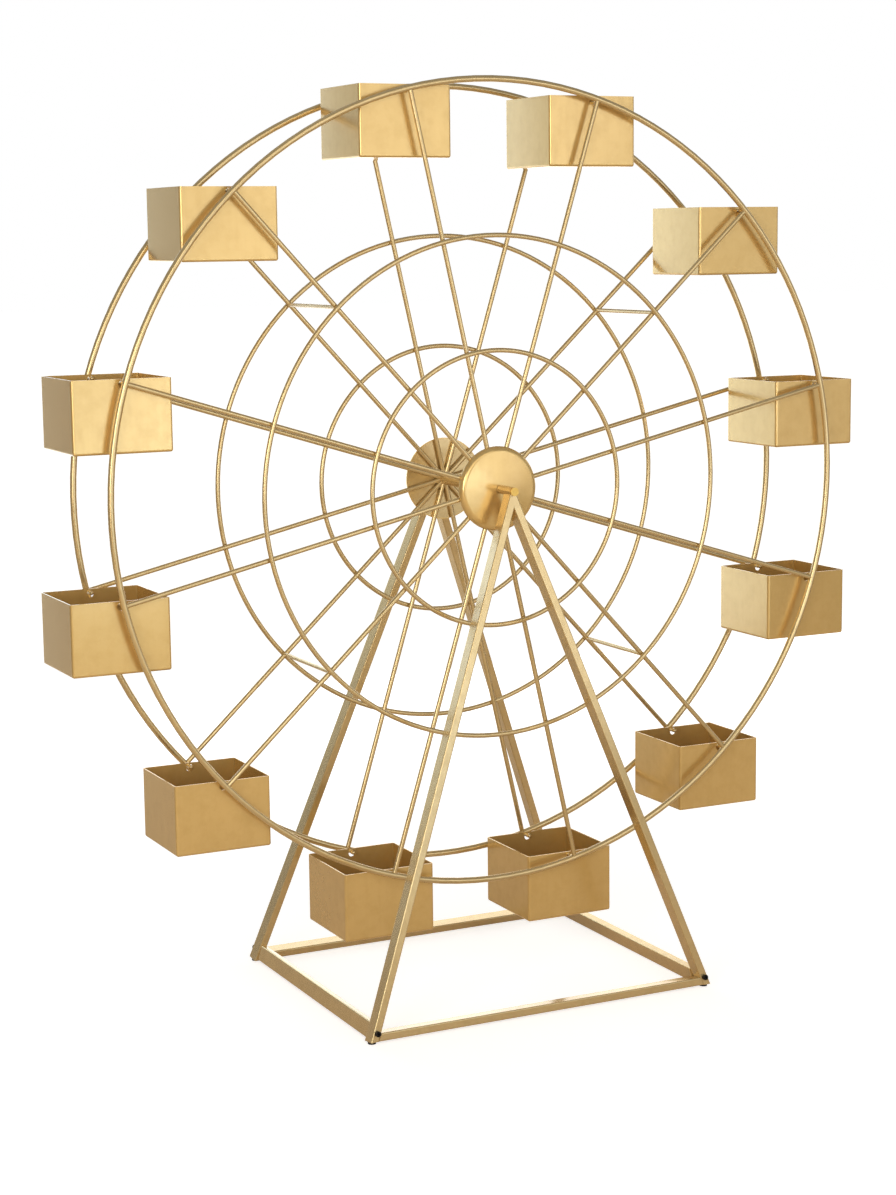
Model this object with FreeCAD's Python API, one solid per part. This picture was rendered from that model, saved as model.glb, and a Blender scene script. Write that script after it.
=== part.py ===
import FreeCAD, Part
import math
import os
from FreeCAD import Vector as V

# Ferris wheel display stand: gold painted steel, twelve hanging baskets on a double wheel.
# Millimetres. X is across the stand, Y runs along the wheel's axle from front (-Y) to rear (+Y),
# Z is up. The origin is on the floor, straight below the middle of the axle.

# ---- stand ----
hub_height = 646.0            # floor to axle
foot_width = 479.0            # across the outer edges of the legs at their lower ends
apex_width = 6.0              # across the same edges, carried up to the height of the axle
foot_depth = 396.0            # front face to rear face at the lower ends of the two frames
apex_depth = 239.0            # front face to rear face at the height of the axle
frame_lift = 4.0              # floor to the front lower edge of a frame
tube_width = 10.0             # tube size in the plane of a frame
tube_depth = 20.0             # tube size through the frame
tube_wall = 1.2
tube_corner = 1.5             # outside radius of a tube's corners
rail_floor_gap = 1.0          # floor to the lowest edge of a side rail
rail_tilt = 16.3              # degrees that a side rail leans inward
rail_setback = 1.0            # from the legs' outer faces in to a side rail's upper edge
rail_plug = 12.0              # solid end of a side rail, tapped for its bolt
foot_pad_radius = 5.0
foot_pad_inset = 5.3          # from a leg's outer lower edge to the middle of its pad

# ---- corner bolts ----
bolt_rise = 12.5              # from a leg's lower end up along it to its bolt
bolt_radius = 2.0
bolt_hole_gap = 0.1
bolt_grip = 9.0               # length of shank inside the side rail
bolt_head_radius = 3.5
bolt_head_height = 4.0
bolt_socket_width = 3.0       # across flats
bolt_socket_depth = 2.2

# ---- axle and bearings ----
axle_radius = 4.0
bearing_gap = 0.08            # running clearance between axle and sleeve
sleeve_wall = 1.42
sleeve_dome_gap = 1.0         # between a sleeve's inner end and the hub dome
sleeve_proud = 0.7            # how far a sleeve stands out in front of its frame
sleeve_cap_gap = 0.5          # between a sleeve's outer end and the axle's cap
cap_radius = 5.3
cap_thickness = 2.6

# ---- wheel ----
spoke_count = 12
first_spoke_angle = 12.8      # degrees above +X
spoke_plane = 72.0            # middle of the wheel to the plane of each set of spokes
outer_radius = 500.0          # ring radii are to the middle of the rod
middle_radius = 312.0
inner_radius = 171.5
outer_rod_radius = 4.0
inner_rod_radius = 3.0        # middle and inner rings
spoke_rod_radius = 3.0
tie_rod_radius = 2.5
tie_first_spoke = 1           # the tie rods stand at every third spoke from this one
tie_step = 3
hub_tube_radius = 8.0

# ---- hub plates and domes ----
hub_plate_thickness = 1.5
dome_radius = 53.0
dome_sheet = 1.2
dome_edge_height = 8.0
dome_height = 10.5
dome_edge_fillet = 7.4

# ---- baskets ----
basket_length = 122.0         # X
basket_depth = 118.0          # Y
basket_height = 87.0
basket_sheet = 1.5
basket_bend = 3.0             # outside radius of the folded corners
pin_radius = 2.5
pin_below_rim = 4.8           # from the basket's rim down to the pin's axis
pin_reach = 22.0              # from the spoke plane to the pin's tip
pin_hole_radius = 4.5
pin_hole_gap = 0.3            # above the pin, where the basket hangs on it

# ---- derived ----
lean = math.atan((foot_depth - apex_depth) / 2 / (hub_height - frame_lift))
leg_length = (hub_height - frame_lift) / math.cos(lean)
leg_tan = (foot_width - apex_width) / 2 / leg_length
leg_angle = math.atan(leg_tan)
leg_face_tan = (foot_width - apex_width) / 2 / (hub_height - frame_lift)
rail_angle = math.radians(rail_tilt)
plate_face = spoke_plane + spoke_rod_radius
inner_ring_plane = plate_face + inner_rod_radius
dome_top = plate_face + dome_height
sleeve_start = dome_top + sleeve_dome_gap
sleeve_end = apex_depth / 2 + sleeve_proud
sleeve_bore = axle_radius + bearing_gap
sleeve_radius = sleeve_bore + sleeve_wall
axle_half = sleeve_end + sleeve_cap_gap
hub = V(0, 0, hub_height)
spoke_step = 360.0 / spoke_count
far = 2 * (foot_width + foot_depth)

os.makedirs("parts", exist_ok=True)


def save(name, shapes):
    shape = shapes[0] if len(shapes) == 1 else Part.makeCompound(shapes)
    shape.exportStep("parts/" + name + ".step")


def prism(points, y0, y1):
    """Solid from a closed outline of (x, z) points, between two depths."""
    wire = Part.makePolygon([V(x, y0, z) for x, z in points + points[:1]])
    return Part.Face(wire).extrude(V(0, y1 - y0, 0))


def rod(radius, y0, y1, x=0.0, z=0.0):
    """Cylinder along Y."""
    return Part.makeCylinder(radius, y1 - y0, V(x, y0, z), V(0, 1, 0))


def to_rear(shape):
    return shape.mirror(V(0, 0, 0), V(0, 1, 0))


def to_left(shape):
    return shape.mirror(V(0, 0, 0), V(1, 0, 0))


def round_tube(tube):
    """Round the long edges of a tube's outline."""
    return tube.makeFillet(tube_corner, [e for e in tube.Edges if e.Length > 5 * tube_depth])


# ---- A-frame, drawn upright with its front face at y = 0 and the axle height at z = 0 ----

def place_frame(shape):
    """Lean an upright front frame piece out to its feet and set it in front of the wheel."""
    placed = shape.copy()
    placed.rotate(V(0, 0, 0), V(1, 0, 0), -math.degrees(lean))
    placed.translate(V(0, -apex_depth / 2, hub_height))
    return placed


def leg_edge(z, inset):
    """x of a line along the right leg, inset from its outer edge, at height z."""
    return foot_width / 2 - (z + leg_length) * leg_tan - inset / math.cos(leg_angle)


def leg_outline(inset, bottom, middle):
    """Outline of the right leg, inset on both edges, mitred at x = middle."""
    outer, inner = inset, tube_width - inset
    top = [(middle, (foot_width / 2 - i / math.cos(leg_angle) - middle) / leg_tan - leg_length)
           for i in (inner, outer)]
    return [(leg_edge(bottom, outer), bottom), (leg_edge(bottom, inner), bottom)] + top


bolt_x = foot_width / 2 - tube_width / 2 * math.cos(leg_angle) - bolt_rise * math.sin(leg_angle)
bolt_z = bolt_rise * math.cos(leg_angle) - tube_width / 2 * math.sin(leg_angle) - leg_length

sleeve = rod(sleeve_radius, -sleeve_end, -sleeve_start, 0, hub_height)
sleeve = sleeve.cut(rod(sleeve_bore, -sleeve_end, -sleeve_start, 0, hub_height))
sleeve_cope = rod(sleeve_radius, -far, far, 0, hub_height)

right_leg = round_tube(prism(leg_outline(0, -leg_length, 0), 0, tube_depth))
right_leg = right_leg.cut(prism(leg_outline(tube_wall, tube_wall - leg_length, -tube_width),
                                tube_wall, tube_depth - tube_wall))
right_leg = right_leg.cut(rod(bolt_radius + bolt_hole_gap, -tube_wall, tube_depth + tube_wall,
                              bolt_x, bolt_z))
right_leg = place_frame(right_leg).cut(sleeve_cope)
right_leg = right_leg.common(Part.makeBox(far, far, hub_height, V(0, -far, 0)))

bar_bottom, bar_top = -leg_length, tube_width - leg_length
bar_outline = [(leg_edge(bar_bottom, tube_width), bar_bottom), (leg_edge(bar_top, tube_width), bar_top)]
bar_outline += [(-x, z) for x, z in reversed(bar_outline)]
base_bar = round_tube(prism(bar_outline, 0, tube_depth))
base_bar = base_bar.cut(Part.makeBox(far, tube_depth - 2 * tube_wall, tube_width - 2 * tube_wall,
                                     V(-far / 2, tube_wall, bar_bottom + tube_wall)))
base_bar = place_frame(base_bar)

# ---- corner bolt: socket head in front of the leg, shank through it into the side rail ----

bolt = rod(bolt_radius, -bolt_head_height / 2, tube_depth + bolt_grip, bolt_x, bolt_z)
bolt = bolt.fuse(rod(bolt_head_radius, -bolt_head_height, 0, bolt_x, bolt_z)).removeSplitter()
hexagon = [(bolt_x + bolt_socket_width / math.sqrt(3) * math.cos(math.radians(60 * i)),
            bolt_z + bolt_socket_width / math.sqrt(3) * math.sin(math.radians(60 * i)))
           for i in range(6)]
bolt = bolt.cut(prism(hexagon, -bolt_head_height - 1, bolt_socket_depth - bolt_head_height))
front_right_bolt = place_frame(bolt)

# ---- side rail, leaning nearly as the legs do ----

rail_drop = tube_width * math.sin(rail_angle)
rail_z = rail_floor_gap + rail_drop
inner_face_z = frame_lift - tube_depth * math.sin(lean)
rail_top_z = rail_z + tube_depth * math.cos(rail_angle)
rail_top_x = foot_width / 2 - (rail_top_z - inner_face_z) * leg_face_tan - rail_setback
rail_x = rail_top_x + tube_depth * math.sin(rail_angle)


def rail_bar(inset, half_length, finish=lambda s: s):
    bar = finish(Part.makeBox(tube_width - 2 * inset, 2 * half_length, tube_depth - 2 * inset,
                              V(inset - tube_width, -half_length, inset)))
    bar.rotate(V(0, 0, 0), V(0, 1, 0), -math.degrees(rail_angle))
    bar.translate(V(rail_x, 0, rail_z))
    return bar


behind_frame = prism([(-far, -far), (far, -far), (far, far), (-far, far)], tube_depth, far)
behind_frame = place_frame(behind_frame)
right_rail = rail_bar(0, foot_depth / 2, round_tube).common(behind_frame).common(to_rear(behind_frame))
rail_half = right_rail.BoundBox.YMax
right_rail = right_rail.cut(rail_bar(tube_wall, rail_half - rail_plug))
for fastener in (front_right_bolt, to_rear(front_right_bolt)):
    right_rail = right_rail.cut(fastener)

# ---- foot pads: level underneath, seated on the leaning lower ends of the legs ----

pad = Part.makeCylinder(foot_pad_radius, 2 * frame_lift,
                        V(foot_width / 2 - foot_pad_inset, tube_depth / 2, -leg_length), V(0, 0, -1))
pad = place_frame(pad).common(Part.makeBox(far, far, 2 * frame_lift, V(0, -far, 0)))

for prefix, turn in (("front", lambda s: s), ("rear", to_rear)):
    save(prefix + "_right_leg", [turn(right_leg)])
    save(prefix + "_left_leg", [turn(to_left(right_leg))])
    save(prefix + "_base_bar", [turn(base_bar)])
    save(prefix + "_bearing_sleeve", [turn(sleeve)])
save("right_base_rail", [right_rail])
save("left_base_rail", [to_left(right_rail)])
for name, corner in (("corner_bolts", front_right_bolt), ("foot_pads", pad)):
    pair = [corner, to_left(corner)]
    save(name, pair + [to_rear(s) for s in pair])

# ---- axle and hub ----

save("axle", [rod(axle_radius, -axle_half, axle_half, 0, hub_height)])
front_cap = rod(cap_radius, -axle_half - cap_thickness, -axle_half, 0, hub_height)
save("axle_end_caps", [front_cap, to_rear(front_cap)])

hub_tube = rod(hub_tube_radius, -plate_face, plate_face, 0, hub_height)
save("hub_tube", [hub_tube.cut(rod(axle_radius, -plate_face, plate_face, 0, hub_height))])

axle_hole = rod(axle_radius, -far, far)


def dome_body(inset):
    """Flat-backed dome along -Y, its back at y = 0, inset by a thickness of sheet."""
    radius = dome_radius - inset
    edge, top = dome_edge_height - inset, dome_height - inset
    drop = top - edge
    ball = (dome_radius ** 2 + drop ** 2) / (2 * drop)
    body = rod(radius, -2 * dome_height, 0).common(Part.makeSphere(ball, V(0, ball - top, 0)))
    rim = [e for e in body.Edges if e.BoundBox.YLength < 1e-3 and e.BoundBox.YMax < -inset]
    return body.makeFillet(dome_edge_fillet - inset, rim)


dome = dome_body(0).cut(dome_body(dome_sheet)).cut(axle_hole)
plate = rod(dome_radius - dome_sheet, -hub_plate_thickness, 0).cut(axle_hole)
for shape, name in ((dome, "hub_dome"), (plate, "hub_plate")):
    front = shape.copy()
    front.translate(V(0, -plate_face, hub_height))
    save("front_" + name, [front])
    save("rear_" + name, [to_rear(front)])

# ---- rings ----

for name, radius, rod_radius, plane in (("outer", outer_radius, outer_rod_radius, spoke_plane),
                                        ("middle", middle_radius, inner_rod_radius, inner_ring_plane),
                                        ("inner", inner_radius, inner_rod_radius, inner_ring_plane)):
    ring = Part.makeTorus(radius, rod_radius, hub - V(0, plane, 0), V(0, 1, 0))
    save("front_" + name + "_ring", [ring])
    save("rear_" + name + "_ring", [to_rear(ring)])


# ---- spokes, tie rods and pins, drawn along +X and turned about the axle ----

def turn(shape, index, plane):
    """Turn a piece to the angle of one spoke and put it in one plane of the wheel."""
    placed = shape.copy()
    placed.rotate(V(0, 0, 0), V(0, -1, 0), first_spoke_angle + spoke_step * index)
    placed.translate(hub + V(0, plane, 0))
    return placed


outer_ring = Part.makeTorus(outer_radius, outer_rod_radius, V(0, 0, 0), V(0, 1, 0))
half_tan = math.tan(math.radians(spoke_step / 2))
wedge = prism([(0, 0), (far, -far * half_tan), (far, far * half_tan)], -far, far)
spoke = Part.makeCylinder(spoke_rod_radius, outer_radius, V(0, 0, 0), V(1, 0, 0))
spoke = spoke.common(wedge).cut(rod(hub_tube_radius, -far, far)).cut(outer_ring)

for prefix, plane in (("front", -spoke_plane), ("rear", spoke_plane)):
    for index in range(spoke_count // 2):
        pair = [turn(spoke, i, plane) for i in (index, index + spoke_count // 2)]
        save("%s_spoke_pair_%d" % (prefix, index + 1), pair)

tie = rod(tie_rod_radius, -spoke_plane, spoke_plane, middle_radius, 0)
for plane in (-spoke_plane, spoke_plane):
    tie = tie.cut(Part.makeCylinder(spoke_rod_radius, far, V(0, plane, 0), V(1, 0, 0)))
for number, index in enumerate(range(tie_first_spoke, spoke_count, tie_step)):
    save("tie_rod_%d" % (number + 1), [turn(tie, index, 0)])

tip = V(outer_radius, pin_reach - pin_radius, 0)
pin = rod(pin_radius, 0, tip.y, outer_radius, 0).fuse(Part.makeSphere(pin_radius, tip))
pin = pin.removeSplitter().cut(outer_ring)
front_pins = [turn(pin, i, -spoke_plane) for i in range(spoke_count)]
save("front_basket_pins", front_pins)
save("rear_basket_pins", [to_rear(s) for s in front_pins])


# ---- baskets, drawn with the pin's axis at the origin ----

def basket_block(inset, top):
    """Block with rounded upright corners and lower edges, inset by a thickness of sheet."""
    floor = pin_below_rim - basket_height + inset
    half_x, half_y = basket_length / 2 - inset, basket_depth / 2 - inset
    block = Part.makeBox(2 * half_x, 2 * half_y, top - floor, V(-half_x, -half_y, floor))
    kept = [e for e in block.Edges if e.BoundBox.ZMin < top - basket_bend]
    return block.makeFillet(basket_bend - inset, kept)


hole_z = pin_radius + pin_hole_gap - pin_hole_radius
basket = basket_block(0, pin_below_rim).cut(basket_block(basket_sheet, 2 * pin_below_rim))
basket = basket.cut(rod(pin_hole_radius, -basket_depth, basket_depth, 0, hole_z))
for index in range(spoke_count):
    angle = math.radians(first_spoke_angle + spoke_step * index)
    hung = basket.copy()
    hung.translate(hub + V(math.cos(angle), 0, math.sin(angle)) * outer_radius)
    save("basket_%02d" % (index + 1), [hung])
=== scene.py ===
import math

import bpy
from mathutils import Matrix, Vector


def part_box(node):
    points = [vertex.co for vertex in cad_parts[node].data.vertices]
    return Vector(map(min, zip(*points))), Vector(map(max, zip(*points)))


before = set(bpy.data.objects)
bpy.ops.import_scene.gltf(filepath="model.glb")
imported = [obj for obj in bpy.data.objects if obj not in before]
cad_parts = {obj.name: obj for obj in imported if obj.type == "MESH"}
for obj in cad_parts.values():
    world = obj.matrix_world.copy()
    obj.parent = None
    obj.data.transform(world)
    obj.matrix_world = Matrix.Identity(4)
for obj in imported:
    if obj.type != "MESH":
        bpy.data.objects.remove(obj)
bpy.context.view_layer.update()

axle_low, axle_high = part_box("axle")
HUB = (axle_low + axle_high) / 2
WHITE = (1, 1, 1, 1)


# ---------------------------------------------------------------- node trees

# Sockets of Blender's Mix node, which have the same names for numbers and for colours.
MIX_SHARE = 0
NUMBER_A, NUMBER_B, NUMBER_RESULT = 2, 3, 0
COLOUR_A, COLOUR_B, COLOUR_RESULT = 6, 7, 2

# Height of every bump pattern, in metres.
BUMP_DISTANCE = 0.0002


class Nodes:
    """Short names for building one node tree. A value is a constant or the socket of another node."""

    def __init__(self, tree):
        self.tree = tree
        tree.nodes.clear()

    def add(self, kind, inputs=None, **props):
        node = self.tree.nodes.new(kind)
        for key, value in props.items():
            setattr(node, key, value)
        for key, value in (inputs or {}).items():
            socket = node.inputs[key]
            if isinstance(value, bpy.types.NodeSocket):
                self.tree.links.new(value, socket)
            else:
                socket.default_value = value
        return node

    def object_place(self):
        return self.add("ShaderNodeTexCoord").outputs["Object"]

    def noise(self, vector, scale, detail, rough):
        inputs = {"Vector": vector, "Scale": scale, "Detail": detail, "Roughness": rough}
        return self.add("ShaderNodeTexNoise", inputs).outputs["Fac"]

    def ramp(self, value, lo, hi, out_lo=0.0, out_hi=1.0):
        inputs = {"Value": value, "From Min": lo, "From Max": hi, "To Min": out_lo, "To Max": out_hi}
        return self.add("ShaderNodeMapRange", inputs).outputs["Result"]

    def bump(self, height, strength):
        inputs = {"Height": height, "Strength": strength, "Distance": BUMP_DISTANCE}
        return self.add("ShaderNodeBump", inputs).outputs["Normal"]

    def calculate(self, operation, *values):
        return self.add("ShaderNodeMath", dict(enumerate(values)), operation=operation).outputs[0]

    def measure(self, operation, *vectors):
        """A number from vectors, such as a length or a dot product."""
        inputs = dict(enumerate(vectors))
        return self.add("ShaderNodeVectorMath", inputs, operation=operation).outputs["Value"]

    def mix_numbers(self, share, a, b):
        inputs = {MIX_SHARE: share, NUMBER_A: a, NUMBER_B: b}
        return self.add("ShaderNodeMix", inputs).outputs[NUMBER_RESULT]

    def mix_colours(self, share, a, b):
        inputs = {MIX_SHARE: share, COLOUR_A: a, COLOUR_B: b}
        return self.add("ShaderNodeMix", inputs, data_type="RGBA").outputs[COLOUR_RESULT]


def new_material(name):
    material = bpy.data.materials.new(name)
    material.use_nodes = True
    return material, Nodes(material.node_tree)


# ---------------------------------------------------------------- materials

# Noise patterns: scale, detail, roughness. The streak's scale is in its stretched place.
DRIFT = (9.0, 3.0, 0.6)
CLOUD = (75.0, 3.0, 0.55)
STREAK = (1.0, 2.0, 0.5)
MARKS = (38.0, 5.0, 0.65)
PEEL = (240.0, 2.0, 0.5)
STREAK_STRETCH = (160.0, 160.0, 9.0)

# Where in its noise each pattern sets in and is full, and how much of its shade it then lays on.
DRIFT_RANGE = (0.3, 0.7)
CLOUD_RANGE = (0.42, 0.7)
CLOUD_SHARE = 0.5
CLOUD_SHADE = (0.9, 0.87, 0.8)
STREAK_RANGE = (0.4, 0.75)
STREAK_SHARE = 0.2
MARK_RANGE = (0.68, 0.8)
MARK_SHARE = 0.2
MARK_SHADE = (0.7, 0.66, 0.6)
UNEVEN_RANGE = (0.7, 1.3)

EDGE_TINT = (0.85, 0.75, 0.6, 1)
COAT_WEIGHT = 0.8
COAT_ROUGHNESS = 0.12
COAT_IOR = 1.5


def shaded(colour, shade):
    return tuple(part * factor for part, factor in zip(colour, shade)) + (1,)


def gold_paint(name, light, dark, rough, peel_height, metal):
    """Satin gold paint: a cloudy tone, faint upright wiping streaks, soft orange peel, some rub marks."""
    material, n = new_material(name)
    place = n.object_place()
    drift = n.noise(place, *DRIFT)
    cloud = n.noise(place, *CLOUD)
    upright = n.add("ShaderNodeMapping", {"Vector": place, "Scale": STREAK_STRETCH}).outputs["Vector"]
    streak = n.noise(upright, *STREAK)
    marks = n.noise(place, *MARKS)
    peel = n.noise(place, *PEEL)

    cloudy = shaded(dark, CLOUD_SHADE)
    tone = n.mix_colours(n.ramp(drift, *DRIFT_RANGE), dark, light)
    tone = n.mix_colours(n.ramp(cloud, *CLOUD_RANGE, 0.0, CLOUD_SHARE), tone, cloudy)
    tone = n.mix_colours(n.ramp(streak, *STREAK_RANGE, 0.0, STREAK_SHARE), tone, cloudy)
    tone = n.mix_colours(n.ramp(marks, *MARK_RANGE, 0.0, MARK_SHARE), tone, shaded(dark, MARK_SHADE))
    uneven = n.calculate("ADD", cloud, streak)

    shader = n.add("ShaderNodeBsdfPrincipled", {
        "Base Color": tone,
        "Roughness": n.ramp(uneven, *UNEVEN_RANGE, *rough),
        "Normal": n.bump(peel, peel_height),
        "Metallic": metal,
        "Specular Tint": EDGE_TINT,
        "Coat Weight": COAT_WEIGHT,
        "Coat Roughness": COAT_ROUGHNESS,
        "Coat IOR": COAT_IOR,
    })
    n.add("ShaderNodeOutputMaterial", {"Surface": shader.outputs[0]})
    return material


# The dark finishes: a fine grain, and wear in patches a few grains wide.
GRAIN_DETAIL = (3.0, 0.6)
WEAR_DETAIL = (4.0, 0.7)
WEAR_TO_GRAIN = 0.3
GRAIN_RANGE = (0.3, 0.7)
WEAR_RANGE = (0.4, 0.75)
GRAIN_BUMP = 0.2


def dark_finish(name, low, high, metal, rough, scale):
    material, n = new_material(name)
    place = n.object_place()
    grain = n.noise(place, scale, *GRAIN_DETAIL)
    wear = n.noise(place, scale * WEAR_TO_GRAIN, *WEAR_DETAIL)
    shader = n.add("ShaderNodeBsdfPrincipled", {
        "Base Color": n.mix_colours(n.ramp(wear, *WEAR_RANGE), low, high),
        "Roughness": n.ramp(grain, *GRAIN_RANGE, *rough),
        "Normal": n.bump(grain, GRAIN_BUMP),
        "Metallic": metal,
    })
    n.add("ShaderNodeOutputMaterial", {"Surface": shader.outputs[0]})
    return material


PAINT = gold_paint("gold_rod_paint", light=(0.73, 0.56, 0.28, 1), dark=(0.67, 0.51, 0.255, 1),
                   rough=(0.22, 0.27), peel_height=0.0, metal=0.7)
SHEET = gold_paint("gold_sheet_paint", light=(0.81, 0.57, 0.225, 1), dark=(0.75, 0.525, 0.2, 1),
                   rough=(0.22, 0.27), peel_height=0.12, metal=0.6)
END = gold_paint("gold_axle_end", light=(0.85, 0.56, 0.13, 1), dark=(0.78, 0.5, 0.11, 1),
                 rough=(0.18, 0.24), peel_height=0.0, metal=0.6)
BOLT = dark_finish("black_oxide", low=(0.012, 0.011, 0.011, 1), high=(0.05, 0.045, 0.04, 1),
                   metal=0.9, rough=(0.32, 0.5), scale=900.0)
RUBBER = dark_finish("black_rubber", low=(0.014, 0.014, 0.014, 1), high=(0.035, 0.034, 0.033, 1),
                     metal=0.0, rough=(0.7, 0.9), scale=1400.0)


def finish_of(node):
    if node.startswith("basket_") or node.endswith("hub_dome"):
        return SHEET
    special = {"axle_end_caps": END, "corner_bolts": BOLT, "foot_pads": RUBBER}
    return special.get(node, PAINT)


for node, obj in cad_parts.items():
    for slot in obj.material_slots:
        slot.material = finish_of(node)


# ---------------------------------------------------------------- floor and surround

# Levels are against white at 1. Away from the object the floor rises to the white of the surround.
FLOOR_HALF = 30.0
FLOOR_WARM = (0.78, 0.63, 0.47, 1)
FLOOR_PLAIN = (0.68, 0.68, 0.68, 1)
FLOOR_SHINE = 0.12
FLOOR_LIFT = (0.72, 0.96)
FLOOR_LIFT_REACH = (0.6, 2.5)

AMBIENT_LEVEL = 0.21
AMBIENT_COLOUR = (1.0, 0.86, 0.68, 1)
ROOM_LEVEL = 0.24
GLOW_SHARPNESS = 6.0
# Each glow's azimuth and elevation in degrees, and its level.
ROOM_GLOWS = ((180, 60, 0.20), (0, 90, 0.06), (90, 5, 0.15), (-120, 10, 0.12))


def direction(azimuth, elevation):
    """Unit vector from angles in radians. Azimuth 0 is the front (-Y), and a quarter turn is +X."""
    level = math.cos(elevation)
    return math.sin(azimuth) * level, -math.cos(azimuth) * level, math.sin(elevation)


def background_seen(n, rays):
    """1 for the rays that see the plain white background: the camera's, and those through glass."""
    return n.calculate("MAXIMUM", rays["Is Camera Ray"], rays["Is Transmission Ray"])


def stage_floor():
    """A floor that is white to the camera but for the object's shadow, and warm and dim in reflections."""
    mesh = bpy.data.meshes.new("floor")
    half = FLOOR_HALF
    corners = [(-half, -half, 0), (half, -half, 0), (half, half, 0), (-half, half, 0)]
    mesh.from_pydata(corners, [], [(0, 1, 2, 3)])
    floor = bpy.data.objects.new("floor", mesh)
    bpy.context.scene.collection.objects.link(floor)

    material, n = new_material("floor_white")
    rays = n.add("ShaderNodeLightPath").outputs
    seen = background_seen(n, rays)
    matt = n.add("ShaderNodeBsdfDiffuse", {"Color": n.mix_colours(seen, FLOOR_WARM, FLOOR_PLAIN)})
    shine = n.calculate("MULTIPLY", rays["Is Glossy Ray"], FLOOR_SHINE)
    reach = n.measure("LENGTH", n.object_place())
    lift = n.ramp(reach, *FLOOR_LIFT_REACH, *FLOOR_LIFT)
    glow = n.add("ShaderNodeEmission", {"Color": WHITE, "Strength": n.mix_numbers(seen, shine, lift)})
    both = n.add("ShaderNodeAddShader", {0: matt.outputs[0], 1: glow.outputs[0]})
    n.add("ShaderNodeOutputMaterial", {"Surface": both.outputs[0]})
    mesh.materials.append(material)


def studio_world():
    """White to the camera. Reflections see a dim room with soft glows, and matt surfaces a warm level."""
    world = bpy.data.worlds.new("studio")
    bpy.context.scene.world = world
    world.use_nodes = True
    n = Nodes(world.node_tree)
    rays = n.add("ShaderNodeLightPath").outputs
    place = n.add("ShaderNodeTexCoord").outputs["Generated"]
    room = ROOM_LEVEL
    for azimuth, elevation, level in ROOM_GLOWS:
        middle = direction(math.radians(azimuth), math.radians(elevation))
        facing = n.calculate("MAXIMUM", n.measure("DOT_PRODUCT", place, middle), 0.0)
        glow = n.calculate("POWER", facing, GLOW_SHARPNESS)
        room = n.calculate("MULTIPLY_ADD", glow, level, room)
    lit = n.mix_numbers(rays["Is Glossy Ray"], AMBIENT_LEVEL, room)
    strength = n.mix_numbers(background_seen(n, rays), lit, 1.0)
    colour = n.mix_colours(rays["Is Diffuse Ray"], WHITE, AMBIENT_COLOUR)
    background = n.add("ShaderNodeBackground", {"Color": colour, "Strength": strength})
    n.add("ShaderNodeOutputWorld", {"Surface": background.outputs[0]})


# ---------------------------------------------------------------- lamps and camera

AIM = (0, 0, 0.7)
PLAIN_LIGHT = (1, 1, 1)

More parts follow.
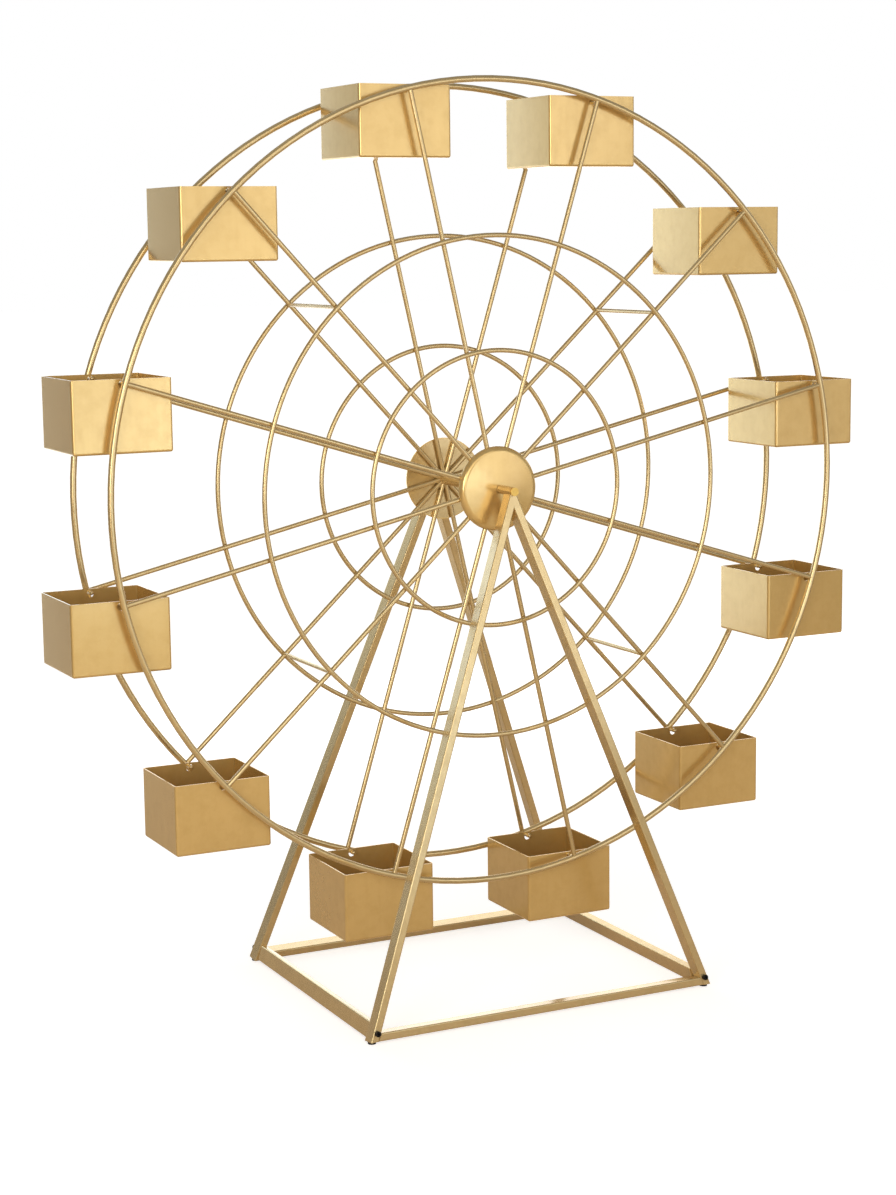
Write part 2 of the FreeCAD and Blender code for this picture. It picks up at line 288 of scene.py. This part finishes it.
# Name, place, aim, width, height, watts, colour. The backdrop lamps are the bright wall behind.
SOFT_BOXES = (
    ("key", (-0.9, -2.6, 1.3), AIM, 1.2, 1.2, 11.5, (1.0, 0.94, 0.8)),
    ("upper_key", (0.0, -2.4, 2.1), AIM, 1.8, 1.0, 7, (1.0, 0.91, 0.76)),
    ("left_key", (-2.2, -2.0, 1.1), AIM, 1.0, 1.4, 24, (1.0, 0.94, 0.84)),
    ("right_fill", (0.9, -2.4, 1.0), AIM, 1.2, 1.2, 5, PLAIN_LIGHT),
    ("far_right_fill", (1.6, -1.9, 0.9), AIM, 1.0, 1.2, 2, PLAIN_LIGHT),
    ("low_front", (0.2, -3.2, 0.35), AIM, 2.4, 0.6, 8, (0.72, 0.85, 0.97)),
    ("backdrop_left", (-0.45, 2.0, 0.8), (-0.45, 0, 0.8), 1.1, 1.6, 11, (0.76, 0.9, 1.0)),
    ("backdrop_middle", (0.55, 2.0, 0.8), (0.55, 0, 0.8), 1.0, 1.6, 8, PLAIN_LIGHT),
    ("backdrop_right", (1.55, 2.0, 0.8), (1.55, 0, 0.8), 1.0, 1.6, 8, (1.0, 0.97, 0.9)),
    ("right_side", (3.0, 1.0, 1.2), AIM, 1.6, 1.6, 7, (1.0, 0.92, 0.8)),
)

# The camera was solved from points of the photograph: angles in radians, place in metres from the hub.
CAMERA_AZIMUTH = -0.4572
CAMERA_ELEVATION = 0.1513
CAMERA_ROLL = -0.0120
CAMERA_FROM_HUB = Vector((-1.3418, -2.6612, 0.3074))
FOCAL_PIXELS = 2349.05
PHOTO_HEIGHT_PIXELS = 1195
FILM_HEIGHT = 36.0


def soft_box(name, place, aim, width, height, watts, colour):
    light = bpy.data.lights.new(name, "AREA")
    light.shape = "RECTANGLE"
    light.size = width
    light.size_y = height
    light.energy = watts
    light.color = colour
    lamp = bpy.data.objects.new(name, light)
    lamp.visible_camera = False
    lamp.location = place
    lamp.rotation_mode = "QUATERNION"
    lamp.rotation_quaternion = (Vector(place) - Vector(aim)).to_track_quat("Z", "Y")
    bpy.context.scene.collection.objects.link(lamp)


def photo_camera():
    data = bpy.data.cameras.new("camera")
    data.sensor_width = FILM_HEIGHT
    data.lens = FILM_HEIGHT * FOCAL_PIXELS / PHOTO_HEIGHT_PIXELS
    back = Vector(direction(CAMERA_AZIMUTH, CAMERA_ELEVATION))
    level = Vector((math.cos(CAMERA_AZIMUTH), math.sin(CAMERA_AZIMUTH), 0))
    upright = back.cross(level)
    right = math.cos(CAMERA_ROLL) * level + math.sin(CAMERA_ROLL) * upright
    up = math.cos(CAMERA_ROLL) * upright - math.sin(CAMERA_ROLL) * level
    camera = bpy.data.objects.new("camera", data)
    camera.matrix_world = Matrix((right, up, back)).transposed().to_4x4()
    camera.location = HUB + CAMERA_FROM_HUB
    bpy.context.scene.collection.objects.link(camera)
    bpy.context.scene.camera = camera


stage_floor()
studio_world()
for box in SOFT_BOXES:
    soft_box(*box)
photo_camera()
bpy.context.scene.view_settings.view_transform = "Standard"
